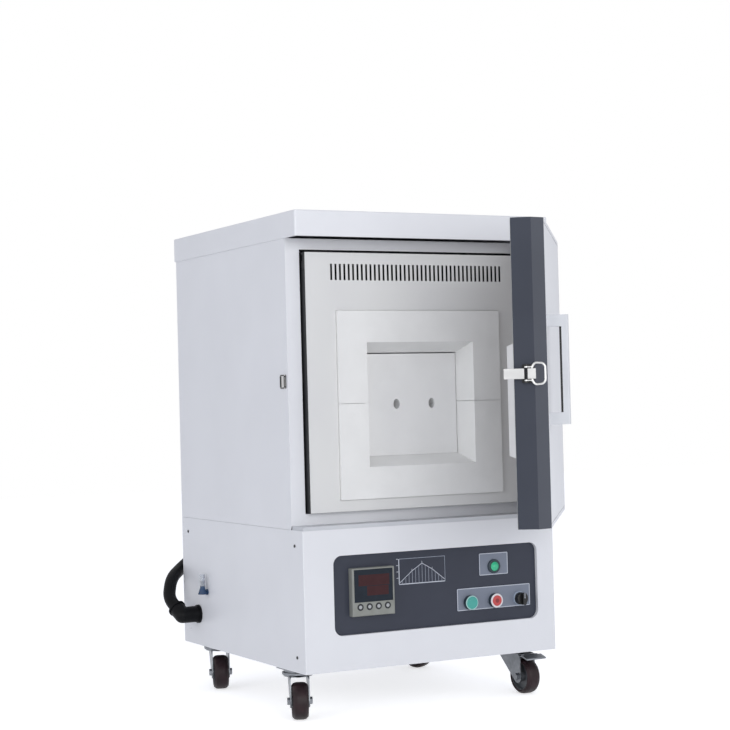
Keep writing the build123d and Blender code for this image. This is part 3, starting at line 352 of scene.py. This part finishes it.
CONTROLLER_X, KEY_PITCH, KEY_Z = -143.4, 20.7, 225.0        # mm
key_grey = round_cap("silicone_keys",
                     [(CONTROLLER_X + (k - 1.5) * KEY_PITCH, KEY_Z) for k in range(4)],
                     "#a8aaac", "#15181d", 3.6, 0.5)
ring_dark = moulded("nylon_ring_dark_teal", "#20303a", "#273741", 0.35)
button_green = moulded("pc_button_green", "#3f9d92", "#4aa89d", 0.25)
button_red = round_cap("pc_button_red", [(149.0, 214.0)], "#8a2a2c", "#c04746", 4.5, 0.3)
lens_green = round_cap("pc_lens_green", [(149.0, 285.0)], "#3abf8e", "#123c33", 9.3, 0.15)
window_smoked = moulded("pmma_window_smoked", "#17202a", "#1b2530", 0.1,
                        Specular_IOR_Level=0.2)
fitting_blue = moulded("nylon_fitting_blue", "#20395a", "#294566", 0.25)
varnish_brown = moulded("varnished_windings", "#5c3320", "#6d4029", 0.35)

tube = Finish("clear_pu_tube", Roughness=0.12, IOR=1.45)
tube.shader.inputs["Transmission Weight"].default_value = 0.75
tube.colours(tube.noise(12.0), "#dfe3ea", "#eef1f5")
tube_clear = tube.material

# %% [markdown]
# ### Which piece has which finish
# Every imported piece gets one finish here. Some get a second one on a few of their faces later.

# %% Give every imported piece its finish
finish_of = {
    cabinet_white: ["base_cabinet", "upper_shell", "front_frame", "top_cap", "rear_cover",
                    "door_panel"],
    handle_grey: ["door_handle"],
    tray_grey: ["sill_tray"],
    door_slate: ["door_shell", "door_hinge_leaves"],
    inner_white: ["slotted_panel"],
    liner_painted_shade: ["door_liner"],
    # inner casing and its rails painted black as painted shade
    painted_shade_black: ["inner_casing", "casing_rails"],
    fascia_slate: ["control_fascia"],
    plate_blue_grey: ["control_plates"],
    mouth_board: ["mouth_block_upper", "mouth_block_lower"],
    plug_board: ["inner_plug", "door_plug"],
    chamber_board: ["chamber_boards"],
    hearth_clay: ["hearth_plate"],
    element_black: ["heating_elements"],
    sheath_cream: ["thermocouple"],
    gasket_felt: ["door_gasket"],
    zinc: ["caster_plates", "fork_front_left", "fork_front_right", "fork_rear_left",
           "fork_rear_right", "brake_front_right", "brake_rear_right"],
    bright_plate: ["latch_lever", "latch_hook", "latch_keeper"],
    dull_plate: ["hinge_leaves", "hinge_pins"],
    tread_maroon: ["wheel_front_left", "wheel_front_right", "wheel_rear_left",
                   "wheel_rear_right"],
    conduit_black: ["conduit", "conduit_elbow", "rear_gland", "mains_gland"],
    plastic_black: ["selector_knob", "side_screws", "latch_base", "handle_grip", "panel_lug"],
    controller_grey: ["controller_case"],
    key_grey: ["controller_keys"],
    ring_dark: ["device_housings"],
    button_green: ["start_button"],
    button_red: ["stop_button"],
    lens_green: ["signal_lamp"],
    window_smoked: ["display_window"],
    fitting_blue: ["gas_fitting"],
    varnish_brown: ["transformer"],
    tube_clear: ["gas_tube"],
}
for material, names in finish_of.items():
    for name in names:
        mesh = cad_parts[name].data
        mesh.materials.clear()
        mesh.materials.append(material)
bare = sorted(set(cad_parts) - {n for names in finish_of.values() for n in names})
print("pieces without a finish:", bare)

# %% [markdown]
# ## Controls
# The fascia carries a printed temperature chart, and both device plates have a pale printed
# border. They are thin ink films, 0.06 mm ahead of their surface, each drawn as short bars.
# The selector's pointer is a thin inlay on its knob.

# %% Bars between two points
FASCIA_Y, PLATE_Y, BEZEL_Y = -311.0, -312.5, -327.0     # front faces of the controls, in mm
INK = 0.06


def bar(mesh, start, end, wide, deep):
    """Box along a line in a front-facing plane, in mm; deep is its size along Y."""
    start, end = Vector(start) / 1000, Vector(end) / 1000
    along = (end - start).normalized()
    across = along.cross(Vector((0, 1, 0)))
    turn = Matrix((along, Vector((0, 1, 0)), across)).transposed().to_4x4()
    size = Matrix.Diagonal(((end - start).length, deep / 1000, wide / 1000, 1))
    bmesh.ops.create_cube(mesh, size=1.0,
                          matrix=Matrix.Translation((start + end) / 2) @ turn @ size)


def finish_piece(name, mesh, material, body):
    """Turns the bmesh into an object that rides a body."""
    data = bpy.data.meshes.new(name)
    mesh.to_mesh(data)
    mesh.free()
    data.materials.append(material)
    piece = bpy.data.objects.new(name, data)
    bpy.context.scene.collection.objects.link(piece)
    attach(piece, body)
    return piece


# %% Printed chart and plate borders
ink_white = moulded("screen_ink_white", "#c3c8d2", "#ced3dc", 0.5)
ink_thin = moulded("screen_ink_faint", "#939aa8", "#9ea5b2", 0.5)
chart_left, chart_right, chart_low, chart_high = -76.0, 32.0, 262.5, 314.0
profile = [(0.0, 0.04), (0.28, 0.5), (0.5, 0.78), (0.72, 0.52), (1.0, 0.06)]


def chart_point(across, height):
    return (chart_left + across * (chart_right - chart_left), FASCIA_Y - INK / 2,
            chart_low + height * (chart_high - chart_low))


def profile_height(across):
    for (x0, h0), (x1, h1) in zip(profile, profile[1:]):
        if x0 <= across <= x1:
            return h0 + (h1 - h0) * (across - x0) / (x1 - x0)


lines = bmesh.new()
for a, b in zip(profile, profile[1:]):
    bar(lines, chart_point(*a), chart_point(*b), 1.1, INK)
bar(lines, chart_point(0, 0), chart_point(0, 1), 1.8, INK)
bar(lines, chart_point(0, 0), chart_point(1, 0), 1.8, INK)
for across, height in profile[1:-1]:
    bar(lines, chart_point(across, height), chart_point(across, height + 0.08), 0.8, INK)
for height in (0.25, 0.5, 0.75, 1.0):
    bar(lines, chart_point(-0.055, height), chart_point(-0.015, height), 1.0, INK)
for x, z, wide, high in ((149.0, 290.3, 70.0, 46.0), (148.0, 220.5, 178.5, 46.0)):
    x0, x1, z0, z1 = x - wide / 2 + 1, x + wide / 2 - 1, z - high / 2 + 1, z + high / 2 - 1
    corners = [(x0, z0), (x1, z0), (x1, z1), (x0, z1), (x0, z0)]
    for (ax, az), (bx, bz) in zip(corners, corners[1:]):
        bar(lines, (ax, PLATE_Y - INK / 2, az), (bx, PLATE_Y - INK / 2, bz), 1.3, INK)
finish_piece("printed_lines", lines, ink_white, "cabinet")

pointer = bmesh.new()
bar(pointer, (209.5, -336.6, 215.2), (209.5, -336.6, 226.4), 1.2, 0.3)
finish_piece("selector_pointer", pointer, ink_white, "selector_knob")

HATCH_COUNT = 14
hatch = bmesh.new()
bar(hatch, chart_point(0, 1), chart_point(1, 1), 0.9, INK)
bar(hatch, chart_point(1, 0), chart_point(1, 1), 0.9, INK)
for k in range(1, HATCH_COUNT):
    across = k / HATCH_COUNT
    bar(hatch, chart_point(across, 0), chart_point(across, profile_height(across)), 0.8, INK)
finish_piece("chart_hatching", hatch, ink_thin, "cabinet")

# %% Dark digit areas behind the controller's window
DIGITS_Y = BEZEL_Y + 0.97
filter_red = moulded("led_filter_dark_red", "#38191c", "#3e1e21", 0.15, Specular_IOR_Level=0.2)
digits = bmesh.new()
for x0, x1, z0, z1 in ((-177.0, -107.0, 267.0, 289.0), (-158.0, -109.0, 247.0, 266.0)):
    middle_z = (z0 + z1) / 2
    bar(digits, (x0, DIGITS_Y, middle_z), (x1, DIGITS_Y, middle_z), z1 - z0, 0.1)
finish_piece("digit_areas", digits, filter_red, "cabinet")

# %% [markdown]
# ## Faces that differ from the rest of their piece
# The front margin of the door is pale like its face panel, and its chamfers are a lighter slate,
# a painted highlight, and a little less rough. The folded edges round the slotted panel and what
# lies behind the vent slots are painted black as painted shade. The wheels have grey hubs. The
# latch's edges are painted dark as painted shade. The screws low at the back of the sides are
# painted over.

# %% Pale margin of the door, and a painted highlight on its chamfers
def paint(node, material, picks):
    """Gives a finish to the faces of a node for which picks(normal, centre in mm) is true."""
    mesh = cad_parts[node].data
    mesh.materials.append(material)
    for face in mesh.polygons:
        if picks(face.normal, face.center * 1000):
            face.material_index = len(mesh.materials) - 1


DOOR_ANGLE = radians(53.35)
outward = Vector((sin(DOOR_ANGLE), -cos(DOOR_ANGLE), 0.0))
chamfer_normal = Vector((-cos(DOOR_ANGLE + pi / 4), -sin(DOOR_ANGLE + pi / 4), 0.0))
paint("door_shell", cabinet_white, lambda normal, at: normal.dot(outward) > 0.95)
# The chamfers get the lighter slate as a painted highlight.
paint("door_shell", slate_painted_highlight, lambda normal, at: normal.dot(chamfer_normal) > 0.95)

# %% Black painted shade on the edges round the slotted panel and behind it
FOLD_Y, FRAME_BACK, SHELL_BACK = -284.5, -267.5, 318.0             # mm, along the depth
MOUTH_HALF, PANEL_HALF, SHELL_HALF = 195.0, 258.0, 294.0           # half widths
SHELL_FOOT, PANEL_FOOT, SLOTS_FOOT = 392.0, 416.0, 880.0           # heights
# Painted shade: the panel's back, its folded edges and the slot walls are painted black, and so
# are the frame's inner return and the inside of the shell.
paint("slotted_panel", painted_shade_black, lambda normal, at: (
    normal.y > 0.5 or abs(normal.y) < 0.5 and (
        at.z > SLOTS_FOOT or at.z < PANEL_FOOT
        or abs(at.x) >= MOUTH_HALF and (at.y > FOLD_Y or abs(at.x) > PANEL_HALF))))
paint("front_frame", painted_shade_black, lambda normal, at: at.y > FRAME_BACK)
paint("upper_shell", painted_shade_black, lambda normal, at: (
    abs(at.x) < SHELL_HALF and at.y < SHELL_BACK and abs(normal.z) < 0.5
    or abs(normal.z) > 0.5 and at.z > SHELL_FOOT))

# %% Grey hubs in the wheels
WHEEL_TRAIL, AXLE_HEIGHT, HUB_RADIUS = 35.0, 37.5, 28.5     # mm
hub_grey = moulded("nylon_hub_grey", "#55585c", "#606367", 0.4)
casters = {"front_left": (-261, -211, -112), "front_right": (261, -211, -88),
           "rear_left": (-241, 249, -108), "rear_right": (241, 249, -60)}
for name, (x, y, heading) in casters.items():
    ahead = Vector((cos(radians(heading)), sin(radians(heading)), 0.0))
    axle = Vector((x, y, AXLE_HEIGHT)) + WHEEL_TRAIL * ahead
    paint(f"wheel_{name}", hub_grey, lambda normal, at: Vector(
        ((at - axle).dot(ahead), at.z - AXLE_HEIGHT)).length < HUB_RADIUS)

# %% Painted shade on the edges of the latch, and the screws painted over
PIVOT = Vector((291.0, -275.0, 0.0))                      # of the door, in mm
BEAD_Y, BEAD_HALF, BEAD_X = -293.5, 3.7, -306.9           # dark band of the closed hook


def when_closed(at):
    """Where a point of the open door would be with the door closed, in mm."""
    return Matrix.Rotation(-DOOR_ANGLE, 3, "Z") @ (at - PIVOT) + PIVOT


# Painted shade on the hook's top and bottom edges; the dark band stands for the loop round the
# strap.
paint("latch_hook", dark_steel_and_painted_shade, lambda normal, at: (
    abs(normal.z) > 0.7
    or abs(when_closed(at).y - BEAD_Y) < BEAD_HALF and when_closed(at).x < BEAD_X))
# Painted shade on the keeper's side faces.
paint("latch_keeper", dark_steel_and_painted_shade, lambda normal, at: abs(normal.x) < 0.7)
paint("side_screws", cabinet_white, lambda normal, at: at.y > 250 and at.z < 200)

# %% [markdown]
# ## Small parts of the cabinet
# Thin black films of painted shade run along three sides of the keeper's plate, and six small
# screws hold the rear cover.

# %% Painted shade round the keeper's plate
plate_points = [point.co * 1000 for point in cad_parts["latch_keeper"].data.vertices]
rear = max(at.y for at in plate_points)
low, high = min(at.z for at in plate_points), max(at.z for at in plate_points)
SHADE_FACE, SHADE_DEEP, SHADE_WIDE, SHADE_EDGE = -296.6, 0.4, 7.0, 2.4      # mm
shade_bars = ((rear - SHADE_WIDE, rear - 0.5, low + 2.8, high - 2.8),
            (rear - 20.0, rear - 3.0, low + 0.3, low + SHADE_EDGE),
            (rear - 20.0, rear - 3.0, high - SHADE_EDGE, high - 0.3))
# Thin black films on three sides of the plate: painted shade of the gap round it.
keeper_painted_shade = bmesh.new()
for near_y, far_y, near_z, far_z in shade_bars:
    middle = Vector((SHADE_FACE, (near_y + far_y) / 2, (near_z + far_z) / 2)) / 1000
    size = Vector((SHADE_DEEP, far_y - near_y, far_z - near_z)) / 1000
    bmesh.ops.create_cube(keeper_painted_shade, size=1.0, matrix=Matrix.Translation(middle)
                          @ Matrix.Diagonal((*size, 1)))
finish_piece("keeper_painted_shade", keeper_painted_shade, dark_steel_and_painted_shade, "cabinet")

# %% Screws that hold the rear cover
COVER_HALF, SCREW_Y = 240.6, 340.0                        # mm
cover_screws = bmesh.new()
for side in (-1, 1):
    for z in (450.0, 655.0, 840.0):
        place = Vector((side * COVER_HALF, SCREW_Y, z)) / 1000
        bmesh.ops.create_cone(cover_screws, cap_ends=True, segments=16, radius1=0.0034,
                              radius2=0.0024, depth=0.0014, matrix=Matrix.Translation(place)
                              @ Matrix.Rotation(side * pi / 2, 4, "Y"))
finish_piece("cover_screws", cover_screws, zinc, "cabinet")

# %% [markdown]
# ## Door edges and button rings
# The folded sheet of the door has small round edges. The rings of the panel devices are coloured
# on their front faces only, each in its own finish.

# %% Soft edges of the door shell
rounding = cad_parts["door_shell"].modifiers.new("edge_rounding", "BEVEL")
rounding.width = 0.0012
rounding.segments = 2
rounding.angle_limit = radians(30)

# %% Rings of the panel devices, one finish for each front face
ring_white = moulded("abs_ring_white", "#d8d4d6", "#e4e0e2", 0.3)
ring_mint = moulded("abs_ring_mint", "#9cc9c4", "#abd4cf", 0.3)
ring_steel = moulded("plated_ring", "#8d99ab", "#9ba7b8", 0.25)
fronts = {(149.0, 285.0): 0, (88.5, 214.0): 1, (149.0, 214.0): 2, (209.5, 214.0): 3}
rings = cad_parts["device_housings"].data
for material in (ring_mint, ring_white, ring_steel):
    rings.materials.append(material)
for face in rings.polygons:
    x, y, z = face.center * 1000
    place = min(fronts, key=lambda p: (p[0] - x) ** 2 + (p[1] - z) ** 2)
    is_front = face.normal.y < -0.3 and y < PLATE_Y - 2
    is_selector = place[0] > 200
    if is_front or is_selector:
        face.material_index = fronts[place]
